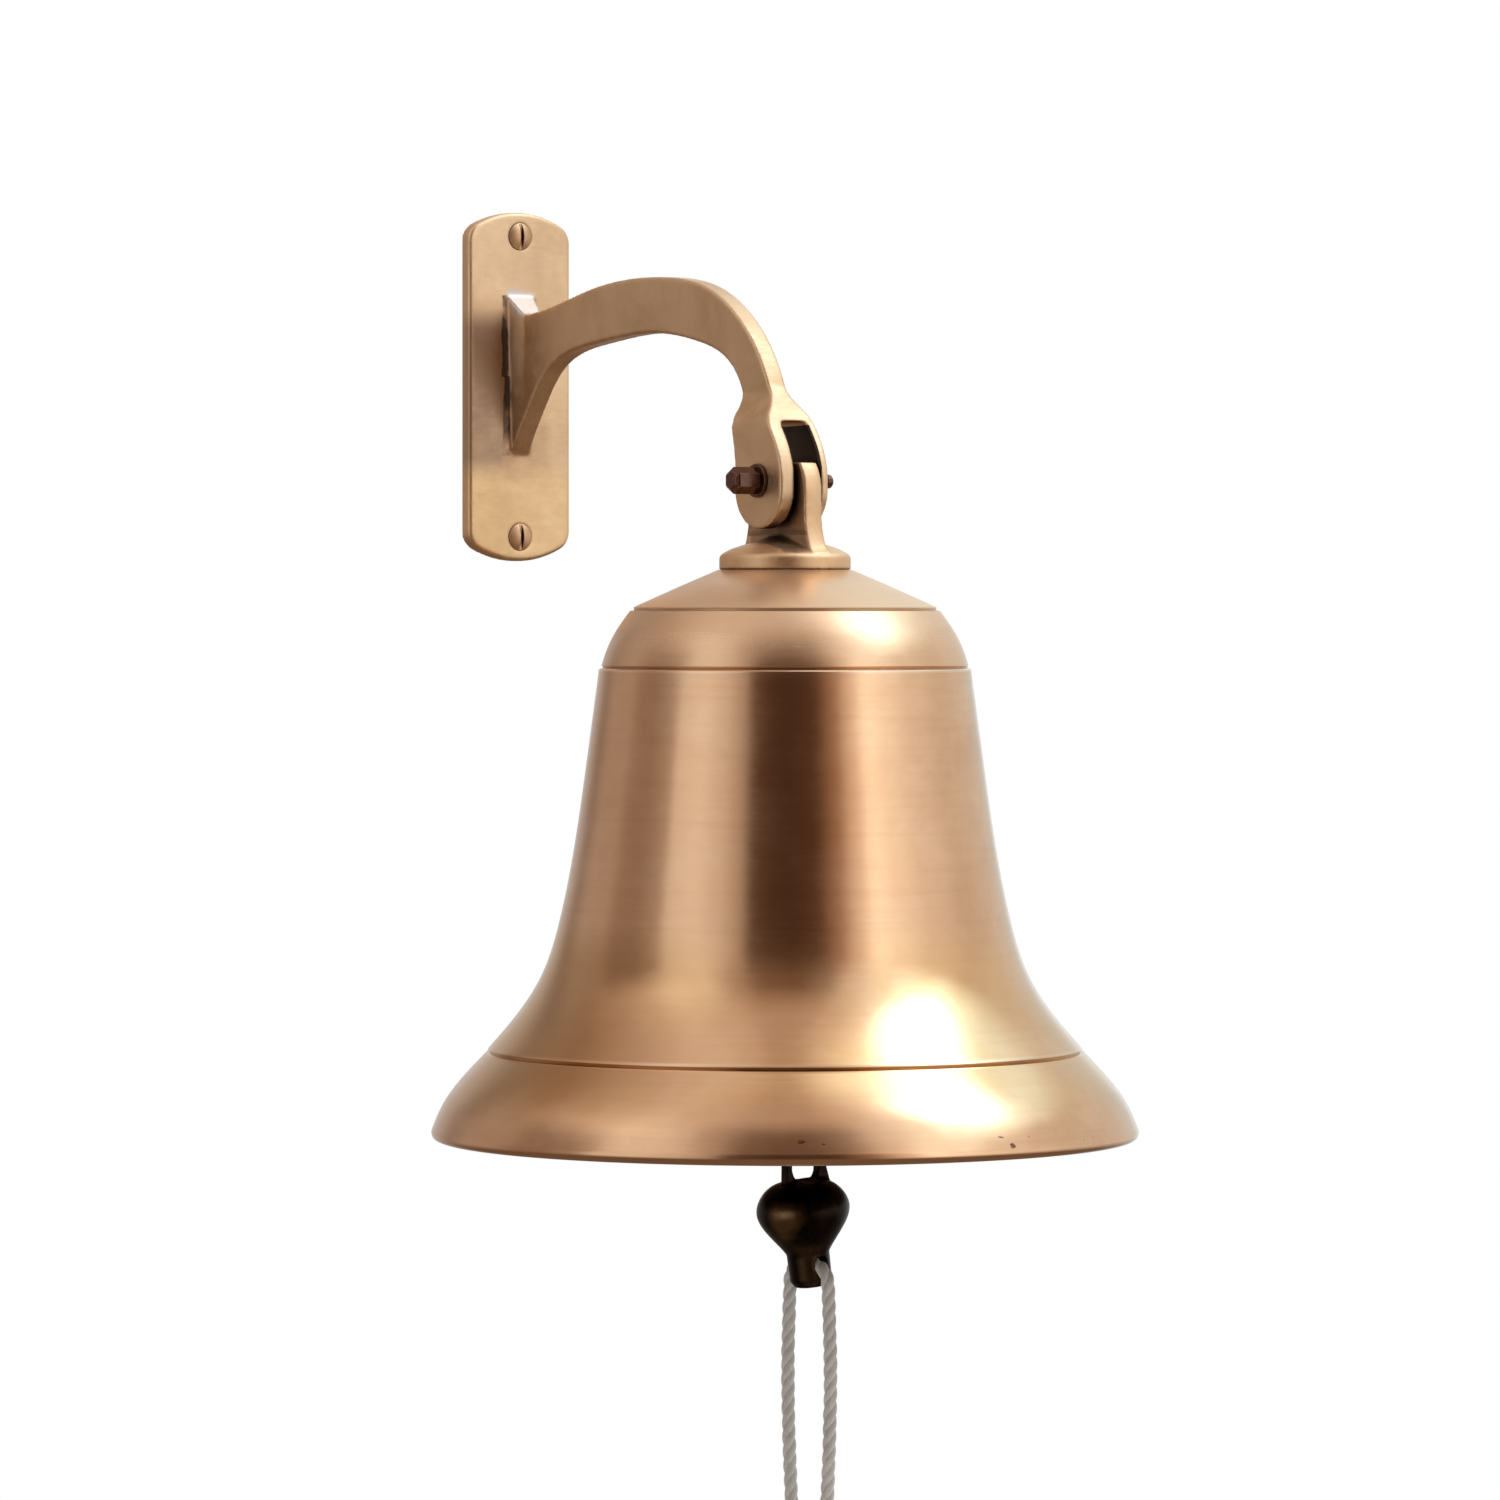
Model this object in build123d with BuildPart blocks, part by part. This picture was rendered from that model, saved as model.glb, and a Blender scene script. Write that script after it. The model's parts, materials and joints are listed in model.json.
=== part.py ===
"""Wall-hung ship bell: scrolled wall bracket with fork, pivoting bell, rod clapper and rope lanyard.

Millimetres. Origin on the wall, at the centre of the plate's back face. The bracket reaches
along -Y, X runs along the wall (and along the pivot bolt), +Z is up.
"""
import os
from math import acos, cos, pi, radians, sin, tan

from build123d import *

os.makedirs("parts", exist_ok=True)

# ---- wall bracket ----
PLATE_W, PLATE_H, PLATE_T = 37.0, 105.6, 4.5
PLATE_END_RISE = 5.6          # how far the curved ends bow out
PLATE_CORNER_R = 6.0
SCREW_Z = 45.5                # screw holes above and below the centre
SCREW_HEAD_R, SCREW_HOLE_R, SINK_DEPTH = 4.15, 2.3, 2.1
ARM_T = 6.5
ROOT_HALF_W, ROOT_TOP_Z, ROOT_LOW_Z = 5.2, 28.0, -21.5   # where the arm meets the plate
NEAR_EAR_X, FAR_EAR_X = -9.6, 7.4        # outer faces of the fork's two ears
SLOT_W = 9.2
SLOT_TOP_Z = -13.3
# ---- pivot ----
PIN_Y, PIN_Z = -140.0, -30.5
BOLT_R, PIVOT_HOLE_R = 2.0, 2.08
HEX_AF, HEX_HEAD_L = 6.8, 8.6
WASHER_R, WASHER_T = 4.8, 1.2
NUT_WASHER_T = 0.8
NUT_AF, NUT_L = 7.0, 4.2
BOLT_END_X = 16.3
# ---- hanger ----
LUG_T = 6.2
LUG_TOP_Z = -19.4
LUG_FLARE_R = 6.5             # the lug's sides sweep out into the cap
CAP_R = 18.9
CAP_BASE_Z = -56.0
STUD_R = 4.9
TAB_T, TAB_HOLE_R = 4.0, 3.05
# ---- bell ----
RIM_Z = -219.3                # plane of the mouth
CROWN_INSIDE = 158.3          # inner crown above the mouth
CROWN_HOLE_R = 5.0
NUT_BIG_AF, NUT_BIG_L = 17.0, 6.0
WASHER_BIG_R, WASHER_BIG_T = 11.0, 1.6
# ---- clapper ----
ROD_R = 2.0
TOP_LOOP_R, LOW_LOOP_R = 6.4, 6.5
EYE_Z = RIM_Z + 134.0         # rod's upper loop, where it passes through the stud's tab
ROCK_Z = RIM_Z - 4.0          # rod's lower loop, wire centre where the striker hangs
CLAPPER_X = TOP_LOOP_R        # the rod leaves the side of its upper loop
STRIKER_Z, STRIKER_LEAN = RIM_Z - 20.6, 8.0       # middle of the striker, and how crooked it is cast
SPIGOT_REACH = 15.9                       # from there down to the cord's cross hole
SPIGOT_X = CLAPPER_X + SPIGOT_REACH * sin(radians(STRIKER_LEAN))
SPIGOT_HOLE_Z = STRIKER_Z - SPIGOT_REACH * cos(radians(STRIKER_LEAN))
SPIGOT_HOLE_R = 2.35
# ---- lanyard ----
CORD_R = 2.0
KNOT_DROP = 132.0             # knot centre below the spigot hole
KNOT_R, KNOT_H = 7.0, 13.0
TAIL_L = 19.0

AXIS = Plane.XZ.offset(-PIN_Y)            # upright plane through the bell's axis


def on_axis(points):
    """Half-section points (radius, height above the mouth) as sketch points."""
    return [(r, RIM_Z + h) for r, h in points]


# ================= wall bracket =================
half_w, shoulder = PLATE_W / 2, PLATE_H / 2 - PLATE_END_RISE

# side profile of the fork, from the neck of the arm down to the rounded ear ends
with BuildPart(mode=Mode.PRIVATE) as fork:
    with BuildSketch(Plane.YZ) as _:
        with BuildLine() as _:
            Spline((-136.2, -3.0), (-141.8, -10.5), (-147.6, -18.6), (-151.2, -31.9))
            ThreePointArc((-151.2, -31.9), (-139.8, -44.3), (-128.4, -31.9))
            Spline((-128.4, -31.9), (-127.6, -20.0), (-125.0, -10.0), (-122.4, -3.0))
            Line((-122.4, -3.0), (-136.2, -3.0))
        make_face()
    extrude(amount=12, both=True)
    with BuildSketch(Plane.XZ.offset(100)) as _:
        with BuildLine() as _:
            Spline((NEAR_EAR_X, -17.0), (-7.4, -11.0), (-ARM_T / 2, -5.0),
                   tangents=[(0, 1), (0.3, 1)])
            Polyline((-ARM_T / 2, -5.0), (-ARM_T / 2, 0), (ARM_T / 2, 0), (ARM_T / 2, -5.0))
            Spline((ARM_T / 2, -5.0), (5.9, -10.0), (FAR_EAR_X, -15.5),
                   tangents=[(0.2, -1), (0, -1)])
            Polyline((FAR_EAR_X, -15.5), (FAR_EAR_X, -50), (NEAR_EAR_X, -50), (NEAR_EAR_X, -17.0))
        make_face()
    extrude(amount=70, mode=Mode.INTERSECT)
    with BuildSketch(Plane.XZ.offset(100)) as _:
        with Locations((0, SLOT_TOP_Z - 20)):
            RectangleRounded(SLOT_W, 40, 1.8)
    extrude(amount=70, mode=Mode.SUBTRACT)

with BuildPart() as wall_bracket:
    # plate with bowed ends
    with BuildSketch(Plane.XZ) as _:
        with BuildLine() as _:
            Line((-half_w, -shoulder), (-half_w, shoulder))
            ThreePointArc((-half_w, shoulder), (0, PLATE_H / 2), (half_w, shoulder))
            Line((half_w, shoulder), (half_w, -shoulder))
            ThreePointArc((half_w, -shoulder), (0, -PLATE_H / 2), (-half_w, -shoulder))
        plate_face = make_face()
        fillet(plate_face.vertices(), PLATE_CORNER_R)
    extrude(amount=PLATE_T)
    fillet(faces().sort_by(Axis.Y)[0].edges(), 1.2)
    # swan-neck arm, springing from a long root that tapers into a gusset
    with BuildSketch(Plane.YZ) as _:
        with BuildLine() as _:
            Spline((-2.0, 21.4), (-20.0, 22.6), (-48.0, 28.4), (-82.0, 30.3), (-106.0, 26.2),
                   (-124.5, 14.3), (-136.2, -3.0))
            Line((-136.2, -3.0), (-122.4, -3.0))
            Spline((-122.4, -3.0), (-115.6, 5.0), (-100.0, 10.9), (-78.0, 13.9), (-50.0, 11.9),
                   (-24.0, 4.6), (-13.5, -7.2), (-5.6, -18.6), (-2.0, -24.0))
            Line((-2.0, -24.0), (-2.0, 21.4))
        make_face()
    extrude(amount=ARM_T / 2, both=True)
    # the root widens towards the plate, most at its top
    half_t = ARM_T / 2
    with BuildSketch(Plane.XZ.offset(PLATE_T - 0.4)) as _:
        Polygon((-ROOT_HALF_W, ROOT_TOP_Z), (ROOT_HALF_W, ROOT_TOP_Z), (half_t, ROOT_LOW_Z), (-half_t, ROOT_LOW_Z),
                align=None)
    with BuildSketch(Plane.XZ.offset(PLATE_T + 7.0)) as _:
        Polygon((-half_t, 21.4), (half_t, 21.4), (half_t, -9.4), (-half_t, -9.4), align=None)
    loft()
    add(fork.part)
    # pivot hole through both ears
    with BuildSketch(Plane.YZ) as _:
        with Locations((PIN_Y, PIN_Z)):
            Circle(PIVOT_HOLE_R)
    extrude(amount=12, both=True, mode=Mode.SUBTRACT)
    # countersunk screw holes
    with Locations(*[Plane((0, -PLATE_T, z), x_dir=(1, 0, 0), z_dir=(0, -1, 0))
                     for z in (-SCREW_Z, SCREW_Z)]):
        Hole(SCREW_HOLE_R)
        with Locations((0, 0, -SINK_DEPTH / 2)):
            Cone(SCREW_HOLE_R, SCREW_HEAD_R + 0.05, SINK_DEPTH, mode=Mode.SUBTRACT)

# ================= wall screws: raised slotted heads =================
def wood_screw():
    """Half-section turned about the screw's own axis, point along +Z, head face at 0."""
    with BuildPart() as screw:
        with BuildSketch(Plane.XZ) as _:
            with BuildLine() as _:
                ThreePointArc((0, -1.35), (2.35, -0.95), (SCREW_HEAD_R, 0))
                Polyline((SCREW_HEAD_R, 0), (SCREW_HOLE_R - 0.05, SINK_DEPTH - 0.05), (2.1, SINK_DEPTH + 0.2),
                         (2.1, PLATE_T + 1.0), (1.9, PLATE_T + 1.2), (1.9, 21.0), (0.25, 25.4), (0, 25.4))
                Line((0, 25.4), (0, -1.35))
            make_face()
        revolve(axis=Axis.Z)
        with Locations((0, 0, -0.9)):
            Box(1.1, 9.0, 1.6, mode=Mode.SUBTRACT)
    return screw.part


SCREW = wood_screw()
SCREWS = {}
for label, z in (("upper_wall_screw", SCREW_Z), ("lower_wall_screw", -SCREW_Z)):
    seat = Plane((0, -PLATE_T, z), x_dir=(1, 0, 0), z_dir=(0, 1, 0))
    SCREWS[label] = seat.location * SCREW
    SCREWS[label].label = label

# ================= pivot bolt, washers and nut =================
HEAD_X = NEAR_EAR_X - WASHER_T

with BuildPart() as pivot_bolt:
    with BuildSketch(Plane.YZ.offset(HEAD_X)) as _:
        with Locations((PIN_Y, PIN_Z)):
            RegularPolygon(HEX_AF / 2, 6, major_radius=False, rotation=30)
    extrude(amount=-HEX_HEAD_L)
    chamfer(faces().sort_by(Axis.X)[0].edges(), 1.1)
    with BuildSketch(Plane.YZ.offset(HEAD_X)) as _:
        with Locations((PIN_Y, PIN_Z)):
            Circle(BOLT_R)
    extrude(amount=BOLT_END_X - HEAD_X)
    chamfer(faces().sort_by(Axis.X)[-1].edges(), 0.5)


def ring(x0, x1, r_out):
    """Washer about the pivot axis between two stations."""
    with BuildPart() as body:
        with BuildSketch(Plane.YZ.offset(x0)) as _:
            with Locations((PIN_Y, PIN_Z)):
                Circle(r_out)
                Circle(BOLT_R + 0.05, mode=Mode.SUBTRACT)
        extrude(amount=x1 - x0)
        fillet(body.edges().filter_by(lambda e: e.length > 2 * pi * (r_out - 0.1)), 0.3)
    return body.part


WASHERS = {
    "pivot_washer_head": ring(HEAD_X, NEAR_EAR_X, WASHER_R),
    "pivot_washer_nut": ring(FAR_EAR_X, FAR_EAR_X + NUT_WASHER_T, WASHER_R - 0.3),
}
for label, washer in WASHERS.items():
    washer.label = label

with BuildPart() as pivot_nut:
    with BuildSketch(Plane.YZ.offset(FAR_EAR_X + NUT_WASHER_T)) as _:
        with Locations((PIN_Y, PIN_Z)):
            RegularPolygon(NUT_AF / 2, 6, major_radius=False, rotation=30)
            Circle(BOLT_R + 0.05, mode=Mode.SUBTRACT)
    extrude(amount=NUT_L)

# ================= hanger: lug, cap and threaded stud in one casting =================
with BuildPart() as hanger:
    with BuildSketch(AXIS) as _:
        with BuildLine() as _:
            Polyline((0, CAP_BASE_Z), (CAP_R, CAP_BASE_Z), (CAP_R, -52.4), (17.9, -51.0))
            Spline((17.9, -51.0), (15.4, -47.6), (14.0, -39.0), (12.4, -27.0), (8.6, -20.6), (0, LUG_TOP_Z),
                   tangents=[(-1, 0.5), (-1, 0)])
            Line((0, LUG_TOP_Z), (0, CAP_BASE_Z))
        make_face()
    revolve(axis=Axis((0, PIN_Y, 0), (0, 0, 1)))
    # the lug is a flat tongue that flares into the cap
    with BuildSketch(Plane.XZ.offset(100)) as tongue:
        with Locations((0, -37.0)):
            Rectangle(LUG_T, 38)
        with Locations((0, -54.9)):
            Rectangle(42, 7.0)
        fillet(tongue.vertices().filter_by(lambda v: abs(abs(v.X) - LUG_T / 2) < 0.01 and v.Z < -45), LUG_FLARE_R)
    extrude(amount=80, mode=Mode.INTERSECT)
    # threaded stud through the crown, its end flattened to a tab for the clapper
    stud_end = EYE_Z - 5.2
    with BuildSketch(Plane.XY.offset(CAP_BASE_Z)) as _:
        with Locations((0, PIN_Y)):
            Circle(STUD_R)
    extrude(amount=stud_end - CAP_BASE_Z)
    with BuildSketch(Plane.YZ) as _:
        with Locations((PIN_Y, EYE_Z)):
            Circle(5.2)
        with Locations((PIN_Y, EYE_Z + 30)):
            Rectangle(60, 60)
    extrude(amount=30, both=True, mode=Mode.INTERSECT)
    for side in (-1, 1):
        with Locations((side * (TAB_T / 2 + 5), PIN_Y, EYE_Z)):
            Box(10, 14, 15, mode=Mode.SUBTRACT)
    with BuildSketch(Plane.YZ) as _:
        with Locations((PIN_Y, EYE_Z)):
            Circle(TAB_HOLE_R)
        with Locations((PIN_Y, PIN_Z)):
            Circle(PIVOT_HOLE_R)
    extrude(amount=20, both=True, mode=Mode.SUBTRACT)

# ================= bell =================
with BuildPart() as bell:
    with BuildSketch(AXIS) as _:
        with BuildLine() as _:
            # flat crown seat, conical crown and the first turned groove
            Polyline(*on_axis([(CROWN_HOLE_R, CROWN_INSIDE), (CROWN_HOLE_R, 163.3), (19.2, 163.3),
                               (43.5, 152.6), (43.4, 151.8), (44.7, 151.5)]))
            # rounded shoulder down to the second groove and its raised bead
            Spline(*on_axis([(44.7, 151.5), (49.0, 145.0), (51.9, 138.5), (52.7, 135.9)]))
            Polyline(*on_axis([(52.7, 135.9), (52.3, 135.3), (53.5, 134.7), (53.6, 133.6)]))
            # waist, flaring to the third groove
            Spline(*on_axis([(53.6, 133.6), (57.0, 108.3), (60.3, 85.4), (64.8, 62.5), (70.2, 46.4),
                             (79.4, 32.7), (85.2, 26.0)]))
            Polyline(*on_axis([(85.2, 26.0), (84.9, 25.2), (86.0, 24.7)]))
            # lip
            Spline(*on_axis([(86.0, 24.7), (91.5, 18.9), (98.4, 9.7), (101.5, 2.6)]))
            ThreePointArc(*on_axis([(101.5, 2.6), (100.6, -0.1), (98.2, -0.8)]))
            Line(*on_axis([(98.2, -0.8), (96.6, -0.2)]))
            # inside
            Spline(*on_axis([(96.6, -0.2), (92.5, 7.0), (83.4, 18.4), (73.0, 32.0), (64.6, 46.0),
                             (59.8, 62.5), (55.6, 85.4), (52.4, 108.3), (49.4, 131.0)]))
            Spline(*on_axis([(49.4, 131.0), (47.4, 140.0), (41.8, 148.0), (34.0, 152.8), (22.0, CROWN_INSIDE)]))
            Line(*on_axis([(22.0, CROWN_INSIDE), (CROWN_HOLE_R, CROWN_INSIDE)]))
        make_face()
    revolve(axis=Axis((0, PIN_Y, 0), (0, 0, 1)))

INNER_TOP_Z = RIM_Z + CROWN_INSIDE

with BuildPart() as crown_washer:
    with BuildSketch(Plane.XY.offset(INNER_TOP_Z)) as _:
        with Locations((0, PIN_Y)):
            Circle(WASHER_BIG_R)
            Circle(STUD_R + 0.05, mode=Mode.SUBTRACT)
    extrude(amount=-WASHER_BIG_T)

with BuildPart() as crown_nut:
    with BuildSketch(Plane.XY.offset(INNER_TOP_Z - WASHER_BIG_T)) as _:
        with Locations((0, PIN_Y)):
            RegularPolygon(NUT_BIG_AF / 2, 6, major_radius=False)
            Circle(STUD_R + 0.05, mode=Mode.SUBTRACT)
    extrude(amount=-NUT_BIG_L)

# ================= clapper rod: wire with an eye at each end, set square to each other =================
LOW_LOOP_Z = ROCK_Z + LOW_LOOP_R
with BuildPart() as clapper_rod:
    top_z = EYE_Z - TOP_LOOP_R
    with Locations(Plane((0, PIN_Y, top_z), x_dir=(1, 0, 0), z_dir=(0, 1, 0))):
        Torus(TOP_LOOP_R, ROD_R)
    with BuildSketch(Plane.XY.offset(top_z + 1.5)) as _:
        with Locations((CLAPPER_X, PIN_Y)):
            Circle(ROD_R + 0.12)
    extrude(amount=LOW_LOOP_Z + LOW_LOOP_R - 0.6 - top_z - 1.5)
    with Locations(Plane((CLAPPER_X, PIN_Y, LOW_LOOP_Z), x_dir=(0, 1, 0), z_dir=(1, 0, 0))):
        Torus(LOW_LOOP_R, ROD_R)

# ================= clapper ball: eye, pear-shaped striker and drilled spigot =================
EYE_BAR = 1.5                                  # half thickness of the striker's eye
EYE_IN, EYE_OUT = 4.7, 6.7                     # half width of its hole, and of the loop
EYE_TOP = ROCK_Z + ROD_R + 0.7                 # upper end of the hole
# striker and spigot, turned upright about their own axis and then leaned over
with BuildPart(mode=Mode.PRIVATE) as striker:
    with BuildSketch(Plane.XZ) as _:
        with BuildLine() as _:
            Line((0, 9.6), (6.6, 7.8))
            Spline((6.6, 7.8), (11.4, 4.9), (13.5, 0.0), (11.0, -6.2), (7.4, -11.0))
            Polyline((7.4, -11.0), (6.2, -12.8), (6.1, -20.6), (4.9, -22.4), (0, -22.5), (0, 9.6))
        make_face()
    revolve(axis=Axis.Z)
    with BuildSketch(Plane.XZ) as _:
        with Locations((0, -SPIGOT_REACH)):
            Circle(SPIGOT_HOLE_R)
    extrude(amount=10, both=True, mode=Mode.SUBTRACT)

with BuildPart() as clapper_ball:
    with Locations(Location((CLAPPER_X, PIN_Y, STRIKER_Z), (0, -STRIKER_LEAN, 0))):
        add(striker.part)
    # loop of the eye, flat sided, straddling the rod's lower loop
    hole_mid = EYE_TOP - EYE_IN
    hole_low = RIM_Z - 8.7
    eye_foot = RIM_Z - 14.6
    with BuildSketch(Plane.XZ.offset(-PIN_Y)) as _:
        with Locations((CLAPPER_X, hole_mid)):
            Circle(EYE_OUT)
        with BuildLine() as _:
            Polyline((CLAPPER_X - EYE_OUT, hole_mid), (CLAPPER_X + EYE_OUT, hole_mid), (CLAPPER_X + 9.4, eye_foot),
                     (CLAPPER_X - 6.9, eye_foot), (CLAPPER_X - EYE_OUT, hole_mid))
        make_face()
    extrude(amount=EYE_BAR, both=True)
    with BuildSketch(Plane.XZ.offset(-PIN_Y)) as _:
        with Locations((CLAPPER_X, hole_mid)):
            Circle(EYE_IN)
        with Locations((CLAPPER_X, hole_low)):
            Circle(EYE_IN)
        with Locations((CLAPPER_X, (hole_mid + hole_low) / 2)):
            Rectangle(2 * EYE_IN, hole_mid - hole_low)
    extrude(amount=6, both=True, mode=Mode.SUBTRACT)

# ================= lanyard: one cotton cord, doubled through the spigot and knotted =================
def cord_route(points):
    """Polyline with tangent arcs, and the radius used at each bend."""
    radii = []
    for a, b, c in zip(points, points[1:], points[2:]):
        u, v = (Vector(*b) - Vector(*a)), (Vector(*c) - Vector(*b))
        turn = acos(max(-1, min(1, u.dot(v) / (u.length * v.length))))
        radii.append(min(400.0, 0.45 * min(u.length, v.length) / tan(turn / 2)))
    return FilletPolyline(*points, radius=radii), radii


def cord(label, points):
    """Round cord swept along its route."""
    with BuildPart() as body:
        with BuildLine() as _:
            route, radii = cord_route(points)
        with BuildSketch(Plane(route @ 0, z_dir=route % 0)) as _:
            Circle(CORD_R)
        sweep()
    body.part.label = label
    print(label, "length", round(route.length, 1), "radii", [round(r, 1) for r in radii],
          "volume", round(body.part.volume, 1), "section x length", round(pi * CORD_R ** 2 * route.length, 1))
    return body.part


# (out from the hole's middle, drop) at each corner of a strand
STRAND = [(0, 0), (8.8, 0), (9.6, 12.0), (10.6, 32.0), (9.2, 64.0), (5.6, 100.0), (2.3, KNOT_DROP - 2)]
TAIL = [(2.2, KNOT_DROP + 3.4), (2.6, KNOT_DROP + 12.0), (4.2, KNOT_DROP + TAIL_L)]
CORDS = {}
for label, side, plan in (("lanyard_front_strand", -1, STRAND), ("lanyard_back_strand", 1, STRAND),
                          ("lanyard_front_tail", -1, TAIL), ("lanyard_back_tail", 1, TAIL)):
    CORDS[label] = cord(label, [(SPIGOT_X, PIN_Y + side * out, SPIGOT_HOLE_Z - drop) for out, drop in plan])

with BuildPart() as lanyard_knot:
    knot_z = SPIGOT_HOLE_Z - KNOT_DROP
    with BuildSketch(AXIS) as _:
        with BuildLine() as _:
            Spline((SPIGOT_X, knot_z + KNOT_H / 2), (SPIGOT_X + KNOT_R, knot_z), (SPIGOT_X, knot_z - KNOT_H / 2),
                   tangents=[(1, 0), (-1, 0)])
            Line((SPIGOT_X, knot_z - KNOT_H / 2), (SPIGOT_X, knot_z + KNOT_H / 2))
        make_face()
    revolve(axis=Axis((SPIGOT_X, PIN_Y, 0), (0, 0, 1)))

# ================= hand in =================
wall_bracket.part.label = "wall_bracket"
pivot_bolt.part.label = "pivot_bolt"
pivot_nut.part.label = "pivot_nut"
hanger.part.label = "hanger"
bell.part.label = "bell"
crown_washer.part.label = "crown_washer"
crown_nut.part.label = "crown_nut"
clapper_rod.part.label = "clapper_rod"
clapper_ball.part.label = "clapper_ball"
lanyard_knot.part.label = "lanyard_knot"

BUILT = [b.part for b in (wall_bracket, pivot_bolt, pivot_nut, hanger, bell, crown_washer, crown_nut,
                          clapper_rod, clapper_ball, lanyard_knot)]
BUILT += [*SCREWS.values(), *WASHERS.values(), *CORDS.values()]
for part in BUILT:
    print(part.label, round(part.volume, 1), part.is_valid, len(part.solids()))
    export_step(part, f"parts/{part.label}.step")
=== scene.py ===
"""Ship bell on a swan-neck wall bracket, with its clapper and a doubled cotton lanyard.

Places start from the frame's node boxes and joint centres, in metres. Profiles and routes are listed in
millimetres and turned into metres where they are used.
"""
import json
from math import cos, pi, radians, sin, tau

import bmesh
import bpy
import numpy as np
from bpy.props import FloatProperty, FloatVectorProperty, IntProperty, PointerProperty
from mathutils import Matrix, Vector


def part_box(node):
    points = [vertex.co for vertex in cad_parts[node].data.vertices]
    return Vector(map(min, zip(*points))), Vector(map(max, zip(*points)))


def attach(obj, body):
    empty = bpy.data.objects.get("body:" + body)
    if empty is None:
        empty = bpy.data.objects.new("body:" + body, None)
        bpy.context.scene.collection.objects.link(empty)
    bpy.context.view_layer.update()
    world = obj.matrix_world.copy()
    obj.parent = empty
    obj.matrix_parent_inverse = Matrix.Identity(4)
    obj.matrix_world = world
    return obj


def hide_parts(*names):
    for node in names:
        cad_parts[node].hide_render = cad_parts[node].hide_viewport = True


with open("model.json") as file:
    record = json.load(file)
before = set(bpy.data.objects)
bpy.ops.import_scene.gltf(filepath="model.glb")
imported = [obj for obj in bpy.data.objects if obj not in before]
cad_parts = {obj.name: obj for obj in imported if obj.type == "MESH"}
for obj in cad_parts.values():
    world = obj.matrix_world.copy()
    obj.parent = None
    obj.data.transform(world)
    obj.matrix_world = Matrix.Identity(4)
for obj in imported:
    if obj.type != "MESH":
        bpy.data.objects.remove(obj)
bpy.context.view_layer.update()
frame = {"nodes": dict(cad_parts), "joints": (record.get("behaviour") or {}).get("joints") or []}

bl_info = {
    "name": "Ship bell",
    "version": (1, 0, 0),
    "blender": (4, 5, 0),
    "location": "3D View > Sidebar > Ship bell",
    "description": "Builds a wall-hung brass ship bell, its bracket, clapper and rope lanyard",
    "category": "Add Mesh",
}

# ------------------------------------------------------------------ places in the frame
MM = 0.001
PIVOT = {j["name"]: Vector(j["pos_m"]) for j in frame["joints"]}
PIN = PIVOT["bell_swing"]
SPIGOT = PIVOT["lanyard_swing"]
BELL_LOW, BELL_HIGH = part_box("bell")
BELL_AXIS = Vector((0.0, (BELL_LOW.y + BELL_HIGH.y) / 2, 0.0))
BELL_HEIGHT = 163.3                           # mm from the rim to the flat top of the crown
RIM_Z = BELL_HIGH.z - BELL_HEIGHT * MM
VIEW_TURN = radians(36)                       # how far the camera stands round from square-on
AWAY = Vector((sin(VIEW_TURN), cos(VIEW_TURN), 0))
RIGHTWARD = Vector((cos(VIEW_TURN), -sin(VIEW_TURN), 0))
SHADED_FLARE_TURN = radians(50)                      # round to the left from the camera, to the painted shade on the flare
SHADED_FLARE_SIDE = -AWAY * cos(SHADED_FLARE_TURN) - RIGHTWARD * sin(SHADED_FLARE_TURN)


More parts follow.
